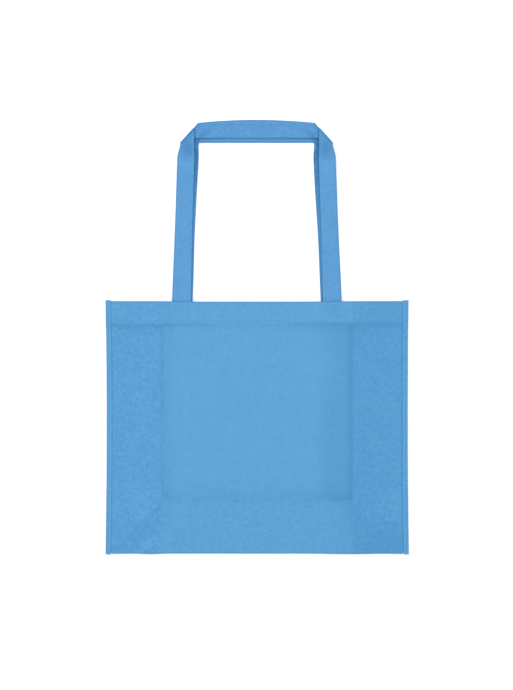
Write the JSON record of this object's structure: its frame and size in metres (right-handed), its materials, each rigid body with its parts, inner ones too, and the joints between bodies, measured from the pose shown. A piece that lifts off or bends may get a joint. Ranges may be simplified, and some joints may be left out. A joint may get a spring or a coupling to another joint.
{
  "type": "exhibition tote bag",
  "caption": "Flat-folded non-woven tote bag with a hemmed mouth, bound side edges, gusseted sides and bottom, and strap handles folded over with mitred corners",
  "frame": {"origin": "under the middle of the whole bag as it lies flat, on the surface that it lies on", "axes": "+X across the bag's width, +Y up the bag from its bottom fold to its handles, +Z out of the front panel"},
  "size_m": [0.4, 0.5748, 0.0081],
  "materials": {
    "main_panel": "matt spunbond non-woven",
    "left_gusset": "matt spunbond non-woven",
    "right_gusset": "matt spunbond non-woven",
    "front_left_binding": "matt spunbond non-woven",
    "front_right_binding": "matt spunbond non-woven",
    "back_left_binding": "matt spunbond non-woven",
    "back_right_binding": "matt spunbond non-woven",
    "front_handle": "matt spunbond non-woven",
    "back_handle": "matt spunbond non-woven"
  },
  "bodies": {
    "root": {"main_panel": "main_panel", "left_gusset": "left_gusset", "right_gusset": "right_gusset", "front_left_binding": "front_left_binding", "front_right_binding": "front_right_binding", "back_left_binding": "back_left_binding", "back_right_binding": "back_right_binding", "front_handle": "front_handle", "back_handle": "back_handle"}
  },
  "joints": []
}
